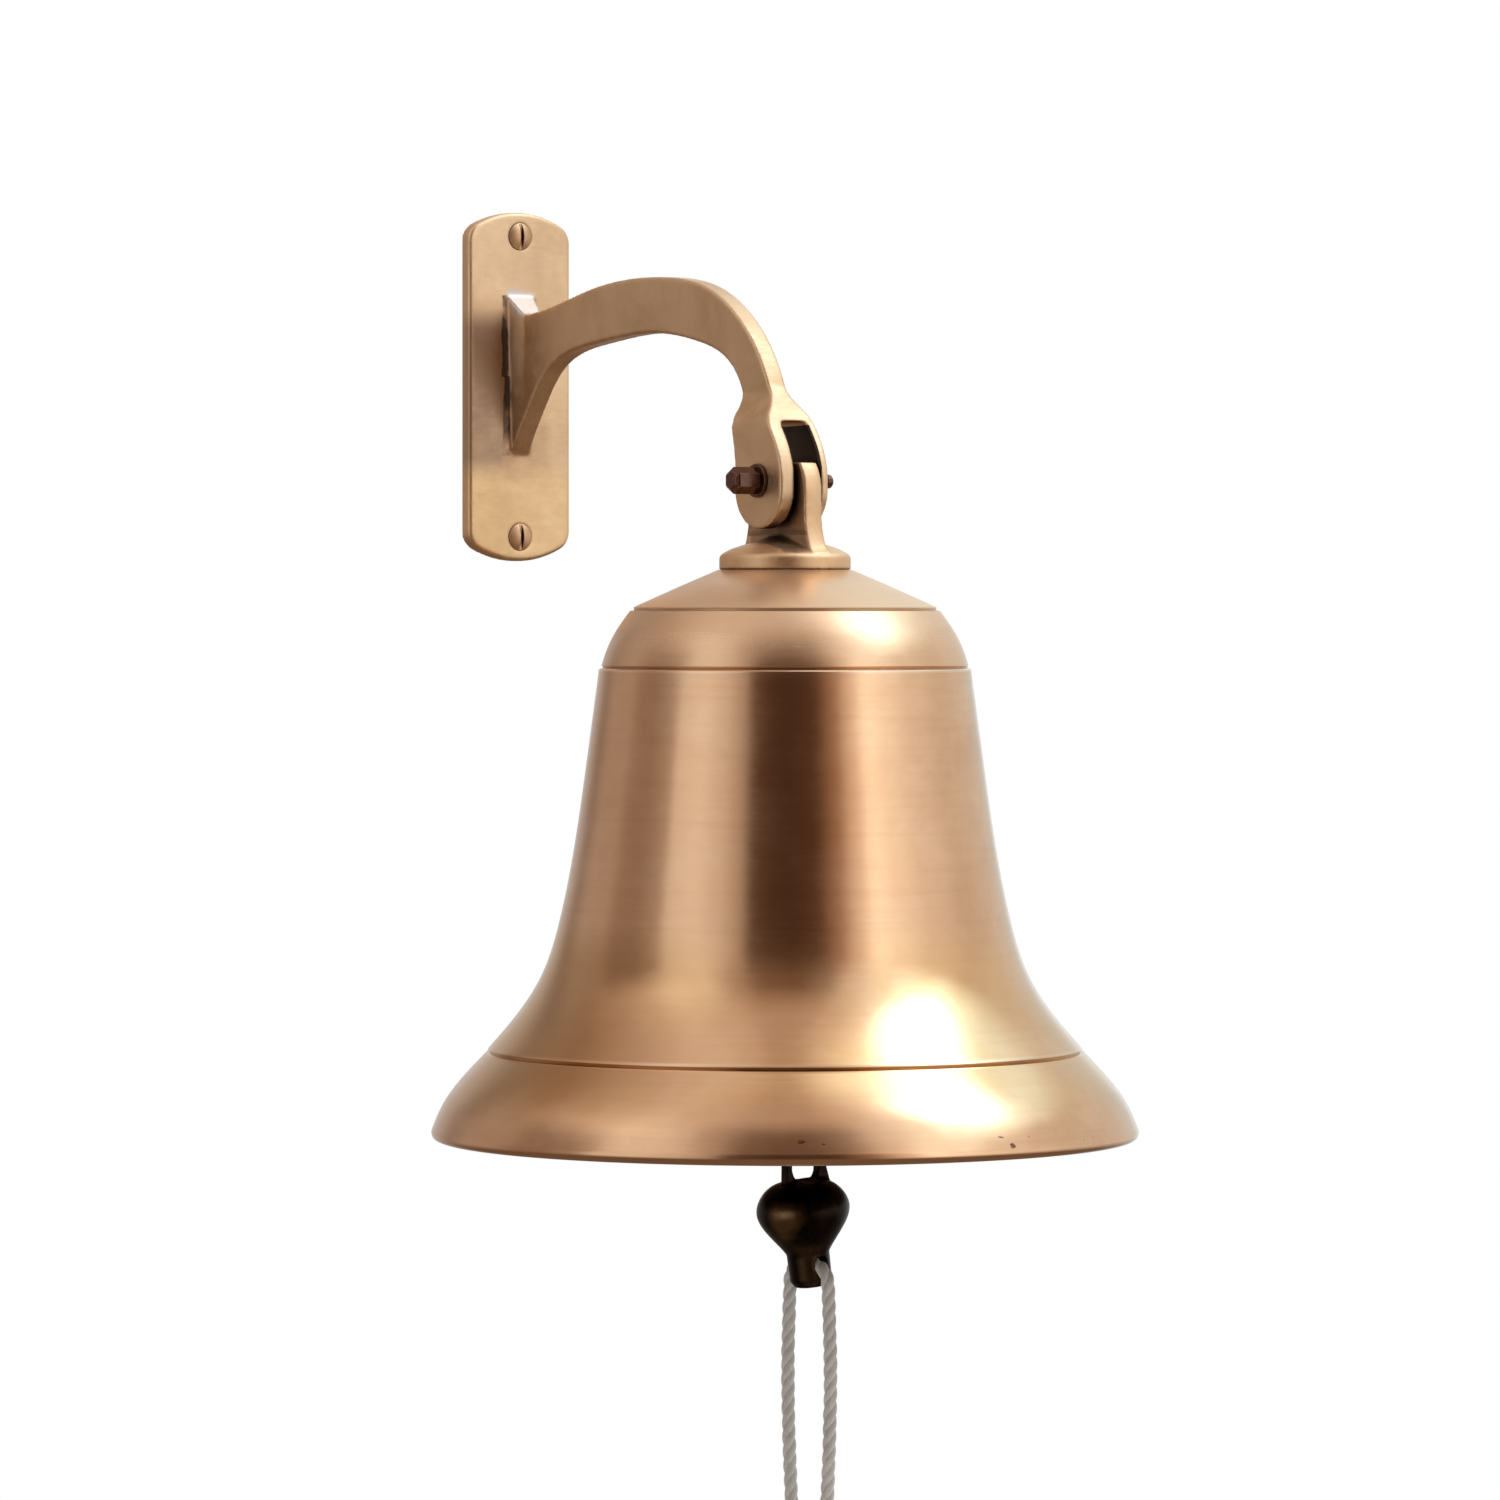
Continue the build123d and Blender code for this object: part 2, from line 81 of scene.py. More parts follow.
# ------------------------------------------------------------------ shader helpers
class Shader:
    """A new material with its Principled shader and a short way to add nodes."""

    def __init__(self, owner, **sockets):
        """Owner is a new material's name, or a world whose nodes are made afresh."""
        if isinstance(owner, bpy.types.World):
            owner.use_nodes = True
            self.tree = owner.node_tree
            self.tree.nodes.clear()
            return
        self.material = bpy.data.materials.new(owner)
        self.material.use_nodes = True
        self.tree = self.material.node_tree
        self.surface = self.tree.nodes["Principled BSDF"]
        for socket, value in sockets.items():
            self.surface.inputs[socket.replace("_", " ").title()].default_value = value

    def add(self, kind, inputs=None, **settings):
        node = self.tree.nodes.new(kind)
        for key, value in settings.items():
            setattr(node, key, value)
        for key, value in (inputs or {}).items():
            if isinstance(value, bpy.types.NodeSocket):
                self.tree.links.new(value, node.inputs[key])
            else:
                node.inputs[key].default_value = value
        return node

    def math(self, operation, a, b=0.5):
        return self.add("ShaderNodeMath", {0: a, 1: b}, operation=operation).outputs[0]

    def vector(self, operation, a, b):
        return self.add("ShaderNodeVectorMath", {0: a, 1: b}, operation=operation).outputs[0]

    def dot(self, a, b):
        """How far one direction points along another."""
        return self.add("ShaderNodeVectorMath", {0: a, 1: b}, operation="DOT_PRODUCT").outputs["Value"]

    def noise(self, point, scale, detail=4.0, roughness=0.55, distortion=0.0):
        inputs = {"Vector": point, "Scale": scale, "Detail": detail, "Roughness": roughness,
                  "Distortion": distortion}
        return self.add("ShaderNodeTexNoise", inputs).outputs["Fac"]

    def ramp(self, value, low, high, to_low=0.0, to_high=1.0, curve="LINEAR"):
        """Value from low..high stretched to to_low..to_high, held at both ends."""
        inputs = {"Value": value, "From Min": low, "From Max": high, "To Min": to_low, "To Max": to_high}
        return self.add("ShaderNodeMapRange", inputs, interpolation_type=curve).outputs["Result"]

    def blend(self, factor, a, b):
        """Colour a turning into colour b."""
        node = self.add("ShaderNodeMix", {0: factor}, data_type="RGBA", clamp_factor=True)
        for socket, value in ((node.inputs[6], a), (node.inputs[7], b)):
            if isinstance(value, bpy.types.NodeSocket):
                self.tree.links.new(value, socket)
            else:
                socket.default_value = (*value, 1)
        return node.outputs[2]

    def within(self, value, low, high, soft):
        """One where the value lies between low and high, fading out over a soft width on each side."""
        rise = self.ramp(value, low - soft, low)
        fall = self.ramp(value, high, high + soft, 1.0, 0.0)
        return self.math("MULTIPLY", rise, fall)

    def all_of(self, *shares):
        """Product of several shares."""
        result = shares[0]
        for share in shares[1:]:
            result = self.math("MULTIPLY", result, share)
        return result

    def sum_of(self, *terms):
        """Sum of (value, weight) terms."""
        total, *others = [self.math("MULTIPLY", value, weight) for value, weight in terms]
        for term in others:
            total = self.math("ADD", total, term)
        return total

    def object_point(self):
        return self.add("ShaderNodeTexCoord").outputs["Object"]

    def split(self, vector):
        return self.add("ShaderNodeSeparateXYZ", {0: vector}).outputs

    def join(self, x, y, z):
        return self.add("ShaderNodeCombineXYZ", {0: x, 1: y, 2: z}).outputs[0]

    def bump(self, height, distance, strength, normal=None):
        inputs = {"Height": height, "Distance": distance, "Strength": strength}
        if normal is not None:
            inputs["Normal"] = normal
        return self.add("ShaderNodeBump", inputs).outputs[0]

    def finish(self, colour, roughness=None, normal=None):
        for name, value in (("Base Color", colour), ("Roughness", roughness), ("Normal", normal)):
            if value is not None:
                self.tree.links.new(value, self.surface.inputs[name])
        return self.material


def tinted(colour, share):
    """Colour with its channels scaled, all by one number or each by its own, and held to one."""
    shares = share if isinstance(share, tuple) else (share,) * 3
    return tuple(min(1.0, c * f) for c, f in zip(colour, shares))


# tones of age and wear on the bell, with its painted shade and painted highlights
# painted shade in the turned grooves
GROOVE_SHADE = (0.10, 0.055, 0.028)
# painted highlight on the groove edges
GROOVE_EDGE_HIGHLIGHT = (1.0, 0.86, 0.70)
PIT_DARK = (0.05, 0.03, 0.02)
CROWN_HAZE = (0.95, 0.70, 0.45)
# painted shade in brown on the flare's side to the camera's left
FLARE_SHADE_BROWN = (0.50, 0.27, 0.12)
FLARE_GOLD = (0.88, 0.56, 0.22)
RING_SLANT = -0.83                            # counts outward as downward, so rings follow the profile


def turned_brass(name, colours, grooves=(), lit_edge_heights=(), inside=False):
    """Lathe-turned, brushed and aged brass: fine rings round the bell's axis under a soft patina.

    Colours are the base, a darker shade and a lighter glow. Grooves are (height, half width, strength) of
    painted shade in each groove, and the next list holds the heights of painted highlights on crisp groove
    edges. Heights are in mm above the rim.
    """
    base, shade, glow = colours
    s = Shader(name, metallic=1.0, anisotropic=0.30)
    point = s.vector("SUBTRACT", s.object_point(), tuple(BELL_AXIS))
    x, y, z = s.split(point)
    radius = s.math("SQRT", s.sum_of((x, x), (y, y)))
    turn_x = s.math("DIVIDE", x, radius)
    turn_y = s.math("DIVIDE", y, radius)
    along = s.math("ADD", z, s.math("MULTIPLY", radius, RING_SLANT))

    def rings(closeness, drift, detail, roughness):
        """Noise that changes quickly along the profile and slowly round the bell."""
        place = s.join(s.math("MULTIPLY", along, closeness), s.math("MULTIPLY", turn_x, drift),
                       s.math("MULTIPLY", turn_y, drift))
        return s.noise(place, 1.0, detail, roughness)

    def off(height):
        """Distance above or below a height over the rim."""
        return s.math("ABSOLUTE", s.math("SUBTRACT", z, RIM_Z + height * MM))

    fine = rings(1500.0, 3.0, 3.0, 0.7)
    broad = rings(260.0, 1.1, 4.0, 0.65)
    patina = s.noise(point, 13.0, 6.0, 0.6, 0.6)
    mottle = s.noise(point, 62.0, 6.0, 0.62, 0.3)
    colour = s.blend(s.ramp(patina, 0.42, 0.70, 0.0, 0.45), base, shade)
    colour = s.blend(s.ramp(mottle, 0.46, 0.74, 0.0, 0.35), colour, glow)
    colour = s.blend(s.ramp(broad, 0.48, 0.76, 0.0, 0.22), colour, shade)
    # painted shade along each turned groove
    for height, width, amount in grooves:
        colour = s.blend(s.ramp(off(height), 0.0, width * MM, amount, 0.0), colour, GROOVE_SHADE)
    # painted highlights, thin bright lines beside the grooves
    for height in lit_edge_heights:
        colour = s.blend(s.ramp(off(height), 0.0, 0.5 * MM, 0.55, 0.0), colour, GROOVE_EDGE_HIGHLIGHT)
    if not inside:
        # a few dark casting pits along the lip
        pits = s.noise(s.vector("MULTIPLY", point, (1.0, 1.0, 2.2)), 210.0, 3.0, 0.5)
        where = s.noise(point, 34.0, 2.0, 0.5)
        band = s.ramp(off(4.5), 1.6 * MM, 2.8 * MM, 1.0, 0.0)
        pit = s.all_of(s.ramp(pits, 0.64, 0.67), s.ramp(where, 0.57, 0.60), band, 0.85)
        colour = s.blend(pit, colour, PIT_DARK)
    dull = (0.46, 0.62) if inside else (0.12, 0.20)
    rough = s.ramp(s.sum_of((fine, 0.5), (mottle, 0.5)), 0.35, 0.65, *dull)
    if not inside:
        # handled and hazy towards the crown
        upper = s.ramp(z, RIM_Z + 131 * MM, RIM_Z + 153 * MM)
        rough = s.math("ADD", rough, s.math("MULTIPLY", upper, 0.20))
        colour = s.blend(s.math("MULTIPLY", upper, 0.45), colour, CROWN_HAZE)
        bare = s.ramp(z, RIM_Z + 134 * MM, RIM_Z + 141 * MM, 1.0, 0.84)
        s.tree.links.new(bare, s.surface.inputs["Metallic"])
        # on the flare, painted shade in brown on the camera's left, and a freshly polished golden tone all
        # round
        flare = s.within(z, RIM_Z + 20 * MM, RIM_Z + 52 * MM, 12 * MM)
        facing = s.sum_of((turn_x, SHADED_FLARE_SIDE.x), (turn_y, SHADED_FLARE_SIDE.y))
        flare_shade = s.ramp(s.math("ADD", facing, s.math("MULTIPLY", patina, 0.06)), 0.89, 1.0)
        colour = s.blend(s.all_of(flare, flare_shade, 0.62), colour, FLARE_SHADE_BROWN)
        colour = s.blend(s.all_of(flare, s.ramp(patina, 0.38, 0.60), 0.45), colour, FLARE_GOLD)
    normal = s.bump(fine, 0.01 * MM, 0.45)
    normal = s.bump(broad, 0.04 * MM, 0.30, normal)
    tangent = s.add("ShaderNodeTangent", direction_type="RADIAL", axis="Z").outputs[0]
    s.tree.links.new(tangent, s.surface.inputs["Tangent"])
    return s.finish(colour, rough, normal)


def cast_metal(name, colours, rough, patina_scale, grain=1.0, wear=0.6, lines=(1, 1, 1), recess=None,
               painted_light=()):
    """Cast and hand-finished metal: file and polishing lines, soft patina, bright worn edges, darker corners.

    Colours are the base, a darker shade and a lighter glow. Recess is (reach, colour) of the darkening in
    occluded corners, painted shade together with the patina that polishing never reaches. The boxes given for
    painted light hold painted shade, shadow, light and reflection: low corner, high corner and soft width in
    mm, strength, colour.
    """
    base, shade, glow = colours
    s = Shader(name, metallic=1.0)
    point = s.object_point()
    patina = s.noise(point, patina_scale, 6.0, 0.6, 0.5)
    mottle = s.noise(point, patina_scale * 6.5, 5.0, 0.6)
    polish = s.noise(s.vector("MULTIPLY", point, lines), 700.0, 4.0, 0.65)
    pits = s.noise(point, 1500.0, 2.0, 0.5)
    edge = s.add("ShaderNodeNewGeometry").outputs["Pointiness"]
    colour = s.blend(s.ramp(patina, 0.42, 0.66, 0.0, 0.7), base, shade)
    colour = s.blend(s.ramp(mottle, 0.48, 0.76, 0.0, 0.45), colour, glow)
    colour = s.blend(s.ramp(edge, 0.52, 0.60, 0.0, wear), colour, glow)
    # darker in concave corners
    colour = s.blend(s.ramp(edge, 0.48, 0.41, 0.0, 0.75), colour, tinted(shade, 0.32))
    roughness = s.ramp(s.sum_of((mottle, 0.6), (polish, 0.4)), 0.38, 0.62, *rough)
    # painted shade where occlusion darkens the corners, together with their unpolished patina
    if recess:
        reach, tone = recess
        openness = s.add("ShaderNodeAmbientOcclusion", {"Distance": reach}, samples=12).outputs["AO"]
        uneven = s.math("ADD", openness, s.math("MULTIPLY", s.math("SUBTRACT", patina, 0.5), 0.35))
        colour = s.blend(s.ramp(uneven, 0.74, 0.36), colour, tone)
    # painted shade, shadow, light and reflection, laid on in soft boxes
    if painted_light:
        uneven = s.math("MULTIPLY", s.math("SUBTRACT", patina, 0.5), 6.0 * MM)
        place = [s.math("ADD", axis, uneven) for axis in s.split(point)[:3]]
        for low, high, soft, strength, tone in painted_light:
            shares = [s.within(axis, a * MM, b * MM, soft * MM) for axis, a, b in zip(place, low, high)]
            colour = s.blend(s.all_of(*shares, strength), colour, tone)
    normal = s.bump(polish, 0.02 * MM * grain, 0.5)
    normal = s.bump(pits, 0.03 * MM * grain, 0.35, normal)
    normal = s.bump(mottle, 0.2 * MM * grain, 0.20, normal)
    return s.finish(colour, roughness, normal)


def cotton(name, colour, shade):
    """Soft twisted cotton: pale fibres with darker streaks and blotches, faint fuzz."""
    s = Shader(name, roughness=0.92, sheen_weight=0.35, sheen_roughness=0.6)
    point = s.object_point()
    fibre = s.noise(s.vector("MULTIPLY", point, (1.0, 1.0, 0.35)), 2600.0, 4.0, 0.7)
    blotch = s.noise(point, 130.0, 4.0, 0.6)
    tone = s.blend(s.ramp(fibre, 0.35, 0.7, 0.0, 0.55), colour, shade)
    tone = s.blend(s.ramp(blotch, 0.42, 0.7, 0.0, 0.4), tone, tinted(shade, 0.86))
    return s.finish(tone, None, s.bump(fibre, 0.18 * MM, 0.8))


# ------------------------------------------------------------------ mesh helpers
def natural_spline(points, count):
    """Smooth curve through 2-D points, measured by chord length."""
    points = np.array(points, float)
    step = np.hypot(*np.diff(points, axis=0).T)
    t = np.concatenate([[0], np.cumsum(step)])
    n = len(points)
    matrix, right = np.eye(n), np.zeros((n, 2))
    for i in range(1, n - 1):
        matrix[i, i - 1:i + 2] = step[i - 1], 2 * (step[i - 1] + step[i]), step[i]
        right[i] = 6 * ((points[i + 1] - points[i]) / step[i] - (points[i] - points[i - 1]) / step[i - 1])
    bend = np.linalg.solve(matrix, right)
    result = []
    for u in np.linspace(0, t[-1], count):
        i = min(np.searchsorted(t, u, "right") - 1, n - 2)
        h, a, b = step[i], (t[i + 1] - u) / step[i], (u - t[i]) / step[i]
        result.append(a * points[i] + b * points[i + 1]
                      + ((a ** 3 - a) * bend[i] + (b ** 3 - b) * bend[i + 1]) * h * h / 6)
    return [tuple(p) for p in result]


def new_piece(name, shape, body, materials, replaces, smooth_angle):
    """Piece from a vertex and face list, riding on a body of the frame."""
    vertices, faces = shape
    mesh = bpy.data.meshes.new(name)
    mesh.from_pydata([tuple(v) for v in vertices], [], faces)
    mesh.validate()
    return dress(bpy.data.objects.new(name, mesh), body, materials, replaces, smooth_angle)


def dress(piece, body, materials, replaces, smooth_angle):
    """Links a piece, smooths its shading, gives it its materials and hangs it on its body."""
    bpy.context.scene.collection.objects.link(piece)
    mesh = piece.data
    mesh.materials.clear()
    for material in materials:
        mesh.materials.append(material)
    mesh.shade_smooth()
    mesh.set_sharp_from_angle(angle=radians(smooth_angle))
    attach(piece, body)
    if replaces:
        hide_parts(*replaces)
    return piece


def softened(node, name, body, material, voxel, rounds, swell=None):
    """Copy of a cast or forged CAD node with its corners rubbed round, as tumbling and polishing leave them.

    Swell is more metal for the same casting, as a vertex and face list.
    """
    mesh = frame["nodes"][node].data.copy()
    if swell:
        grown = bmesh.new()
        grown.from_mesh(mesh)
        corners = [grown.verts.new(v) for v in swell[0]]
        for face in swell[1]:
            grown.faces.new([corners[i] for i in face])
        grown.to_mesh(mesh)
        grown.free()
    work = bpy.data.objects.new(name + "_work", mesh)
    bpy.context.scene.collection.objects.link(work)
    remesh = work.modifiers.new("even_skin", "REMESH")
    remesh.mode = "VOXEL"
    remesh.voxel_size = voxel
    rub = work.modifiers.new("rubbed_edges", "SMOOTH")
    rub.factor = 0.5
    rub.iterations = rounds
    mesh = bpy.data.meshes.new_from_object(work.evaluated_get(bpy.context.evaluated_depsgraph_get()))
    bpy.data.objects.remove(work)
    if not len(mesh.polygons):
        raise RuntimeError(f"{node} gave an empty skin")
    mesh.name = name
    return dress(bpy.data.objects.new(name, mesh), body, [material], (node,), smooth_angle=60)


def headings(path):
    """Direction of travel at each point of a path."""
    return [(b - a).normalized() for a, b in zip(path[:1] + path[:-1], path[1:] + path[-1:])]


def tube(path, radii, sides):
    """Vertices and faces of a round tube along 3-D points, with flat ends."""
    tangents = headings(path)
    side = tangents[0].orthogonal().normalized()
    vertices, faces = [], []
    for point, along, radius in zip(path, tangents, radii):
        side = (side - along * side.dot(along)).normalized()
        other = along.cross(side)
        for k in range(sides):
            angle = tau * k / sides
            vertices.append(point + (side * cos(angle) + other * sin(angle)) * radius)
    for i in range(len(path) - 1):
        for k in range(sides):
            a, b = i * sides + k, i * sides + (k + 1) % sides
            faces.append((a, b, b + sides, a + sides))
    faces.append(tuple(reversed(range(sides))))
    faces.append(tuple(range(len(vertices) - sides, len(vertices))))
    return vertices, faces


def join_meshes(parts):
    """One vertex and face list from several."""
    vertices, faces = [], []
    for points, polygons in parts:
        start = len(vertices)
        vertices += list(points)
        faces += [tuple(start + i for i in polygon) for polygon in polygons]
    return vertices, faces


def lathe(profile, centre, segments):
    """Closed profile of (radius, z) turned about an upright axis."""
    vertices, faces, count = [], [], len(profile)
    for k in range(segments):
        c, s = cos(tau * k / segments), sin(tau * k / segments)
        vertices += [(centre.x + r * c, centre.y + r * s, z) for r, z in profile]
    for k in range(segments):
        here, there = k * count, (k + 1) % segments * count
        for i in range(count):
            j = (i + 1) % count
            faces.append((here + i, there + i, there + j, here + j))
    return vertices, faces


THREAD_FACETS = 28                            # facets in one turn of a thread
THREAD_SUNK = 0.1 * MM                        # how deep a thread's foot sits inside its shank


def thread(start, direction, radius, pitch, turns, height, taper=0.0):
    """Helical ridge of a screw thread about a straight axis, running out at both ends.

    Taper is the share of the radius lost over the last three tenths, as a wood screw's point narrows.
    """
    axis = direction.normalized()
    side = axis.orthogonal().normalized()
    other = axis.cross(side)
    steps = int(turns * THREAD_FACETS)
    vertices, faces = [], []
    for i in range(steps + 1):
        share = i / steps
        angle = tau * turns * share
        out = side * cos(angle) + other * sin(angle)
        base = radius * (1 - taper * max(0.0, share - 0.7) / 0.3)
        crest = base + height * min(1.0, share * 12, (1 - share) * 12 + 0.05)
        mid = start + axis * pitch * turns * share
        foot = base - THREAD_SUNK
        for along, reach in ((-0.42, foot), (-0.06, crest), (0.06, crest), (0.42, foot)):
            vertices.append(mid + axis * along * pitch + out * reach)
    for i in range(steps):
        a, b = i * 4, i * 4 + 4
        faces += [(a + k, b + k, b + (k + 1) % 4, a + (k + 1) % 4) for k in range(4)]
    faces += [(0, 1, 2, 3), tuple(steps * 4 + k for k in (3, 2, 1, 0))]
    return vertices, faces


# ------------------------------------------------------------------ lanyard helpers
# routes in mm: out from the middle of the spigot's hole, and drop below it
STRAND = [(0, 0), (8.8, 0), (9.6, 12.0), (10.6, 32.0), (9.2, 64.0), (5.6, 100.0), (2.3, 130.0)]
TAIL = [(2.2, 135.4), (2.6, 144.0), (4.2, 151.0)]
CORD_D = 4.0 * MM
KNOT_DROP = 132.0 * MM
KNOT_MID = SPIGOT - Vector((0, 0, KNOT_DROP))
ROPE_STEP = 0.45 * MM                         # distance between rings of a ply's mesh


def strand_route(plan, side):
    """Route's points in the frame, towards the front with side -1 or the back with side 1."""
    return [SPIGOT + Vector((0, side * out * MM, -drop * MM)) for out, drop in plan]


def nurbs_line(name, points):
    """Points read off a smooth curve that has the route's points as its control points."""
    curve = bpy.data.curves.new(name, "CURVE")
    curve.dimensions = "3D"
    curve.resolution_u = 64
    spline = curve.splines.new("NURBS")
    spline.points.add(len(points) - 1)
    for control, point in zip(spline.points, points):
        control.co = (*point, 1)
    spline.order_u = 3
    spline.use_endpoint_u = True
    holder = bpy.data.objects.new(name, curve)
    bpy.context.scene.collection.objects.link(holder)
    mesh = bpy.data.meshes.new_from_object(holder.evaluated_get(bpy.context.evaluated_depsgraph_get()))
    line = [v.co.copy() for v in mesh.vertices]
    bpy.data.objects.remove(holder)
    bpy.data.meshes.remove(mesh)
    return line


def even_steps(line, step):
    """The same line with points an even step apart, and its length."""
    points = np.array([tuple(p) for p in line])
    reach = np.concatenate([[0], np.cumsum(np.linalg.norm(np.diff(points, axis=0), axis=1))])
    stops = np.linspace(0, reach[-1], max(2, int(reach[-1] / step) + 1))
    spaced = [Vector([float(np.interp(u, reach, points[:, k])) for k in range(3)]) for u in stops]
    return spaced, float(reach[-1])


def laid_rope(line, diameter, lay, seed, fray=0.0):
    """Twisted rope along a line, and the line's length: slightly uneven plies, opened out at a frayed end."""
    plies, ply, out = 3, 0.295 * diameter, 0.195 * diameter
    blur, frayed = 25, 6.0 * MM
    points, length = even_steps(line, ROPE_STEP)
    rng = np.random.default_rng(seed)
    side = Vector((1, 0, 0))
    sides, parts = [], []
    for along in headings(points):
        side = (side - along * side.dot(along)).normalized()
        sides.append((side.copy(), along.cross(side)))
    for p in range(plies):
        wobble = np.convolve(rng.normal(0, 1, len(points) + blur - 1), np.ones(blur) / blur, "valid")
        centres, radii = [], []
        for i, (point, (u, v)) in enumerate(zip(points, sides)):
            run = length * i / (len(points) - 1)
            angle = tau * (run / lay + p / plies)
            open_out = 1 + fray * max(0.0, (run - length + frayed) / frayed) ** 2
            centres.append(point + (u * cos(angle) + v * sin(angle)) * out * open_out)
            radii.append(ply * (1.03 + 0.06 * wobble[i]))
        parts.append(tube(centres, radii, 10))
    return join_meshes(parts), length


# ------------------------------------------------------------------ what a user would change
class ShipBellSettings(bpy.types.PropertyGroup):
    """Sizes and colours of the ship bell."""

    bell_colour: FloatVectorProperty(
        name="Bell colour", description="Colour of the turned and aged bell brass", subtype="COLOR", size=3,
        min=0, max=1, default=(0.86, 0.55, 0.33))
    bracket_colour: FloatVectorProperty(
        name="Bracket colour", description="Colour of the bracket's satin brass", subtype="COLOR", size=3,
        min=0, max=1, default=(0.88, 0.63, 0.39))
    cord_colour: FloatVectorProperty(
        name="Cord colour", description="Colour of the cotton lanyard", subtype="COLOR", size=3,
        min=0, max=1, default=(0.68, 0.64, 0.58))
    segments: IntProperty(name="Bell segments", description="Facets round the turned bell",
                          min=96, max=720, default=288)
    casting_skin: FloatProperty(name="Casting skin", description="Grid of the rubbed casting surfaces",
                                unit="LENGTH", subtype="DISTANCE", min=0.0002, max=0.002, default=0.00055)
    rope_lay: FloatProperty(name="Rope lay", description="Length of one full twist of the lanyard",
                            unit="LENGTH", subtype="DISTANCE", min=0.004, max=0.05, default=0.0125)
    key_power: FloatProperty(name="Key light", description="Power of the overhead soft box",
                             unit="POWER", min=0, max=200, default=3.0)


# ------------------------------------------------------------------ materials of this object
# turned grooves: height above the rim and half width in mm, strength of the painted shade in them
BELL_GROOVES = ((151.75, 0.45, 0.75), (135.35, 0.40, 0.45), (25.2, 0.45, 0.6))
BELL_EDGE_HIGHLIGHTS = (134.4, 26.3)                    # heights of the painted highlights beside the lower two grooves


def bell_brass(settings):
    """Brass of the bell's outside and, untouched by polish, of its inside."""
    base = tuple(settings.bell_colour)
    colours = (base, tinted(base, (0.74, 0.63, 0.54)), tinted(base, (1.12, 1.26, 1.40)))
    unpolished = [tinted(colour, 0.55) for colour in colours]
    return [turned_brass("bell_brass", colours, BELL_GROOVES, BELL_EDGE_HIGHLIGHTS),
            turned_brass("bell_brass_inside", unpolished, inside=True)]


# painted light and shade: low corner, high corner, soft edge (mm), strength, colour
BRACKET_LIGHT_AND_SHADE = (
    # plate beside the root: painted shade, the arm's shadow and dark reflection
    ((-19, -4.8, -21), (-7, -4.2, 17), 6.0, 0.80, (0.46, 0.30, 0.20)),
    # plate under the root: painted shadow of the arm
    ((-4, -4.8, -27), (9, -4.2, -12), 3.5, 0.45, (0.55, 0.32, 0.18)),
    # plate's lower end: painted light, brighter and golden beyond the arm's shadow
    ((-18, -4.8, -50), (18, -4.2, -29), 6.0, 0.60, (0.92, 0.63, 0.32)),
    # painted shadow line along the root's side, upper and lower part
    ((-6.7, -4.9, 3), (-4.9, -4.2, 27), 0.5, 0.85, (0.06, 0.05, 0.055)),
    ((-5.6, -4.9, -20), (-3.7, -4.2, 3), 0.5, 0.85, (0.06, 0.05, 0.055)),
    # painted reflection of the pale sky on the root's top
    ((-4.7, -12, 20.8), (5.3, -4.9, 29), 0.9, 0.60, (0.66, 0.66, 0.70)),
    # painted shade, near black, in the fork's slot
    ((-4.72, -160, -60), (4.72, -120, -14.8), 0.12, 0.93, (0.022, 0.020, 0.024)),
)
HANGER_SHADE = (
    # painted shade on the lug's side turned to the near ear
    ((-3.5, -165, -46), (-2.95, -115, -17), 0.25, 0.70, (0.30, 0.18, 0.10)),
    # painted shade in the corner between lug and cap
    ((-10, -165, -50.6), (-3.2, -128, -45), 0.9, 0.60, (0.16, 0.10, 0.07)),
)
STRIKER_HIGHLIGHTS = (
    # painted highlight, brown, on the striker's lower left cheek
    ((-12, -158, -247), (-3, -143, -239), 3.0, 0.60, (0.30, 0.185, 0.085)),
    # painted highlight, lighter brown, on the spigot's left part
    ((-3, -156, -262), (7, -144, -251), 2.0, 0.45, (0.16, 0.10, 0.05)),
)
# reach and colour of the painted shade in occluded corners, with their patina
CORNER_SHADE_AND_PATINA = (6.0 * MM, (0.075, 0.052, 0.045))


def bracket_brass(settings, name="bracket_brass", tint=1.0, painted_light=()):
    """Satin brass of the bracket, and with a tint of the pieces beside it."""
    base = tinted(settings.bracket_colour, tint)
    colours = (base, tinted(base, (0.74, 0.66, 0.56)), tinted(base, (1.08, 1.14, 1.24)))
    return cast_metal(name, colours, (0.40, 0.55), 24.0, lines=(0.35, 1.0, 1.6), recess=CORNER_SHADE_AND_PATINA,
                      painted_light=painted_light)


def dark_bronze(name="dark_bronze"):
    """Darkened bronze of the bolt, nuts, washers and clapper rod."""
    colours = ((0.15, 0.078, 0.058), (0.10, 0.050, 0.037), (0.30, 0.17, 0.125))
    return cast_metal(name, colours, (0.20, 0.30), 60.0, grain=0.3, wear=0.8)


def clapper_bronze():
    """Nearly black bronze of the striker."""
    colours = ((0.016, 0.010, 0.007), (0.008, 0.005, 0.004), (0.060, 0.036, 0.018))
    return cast_metal("clapper_bronze", colours, (0.26, 0.42), 42.0, grain=1.6, wear=0.20,
                      painted_light=STRIKER_HIGHLIGHTS)


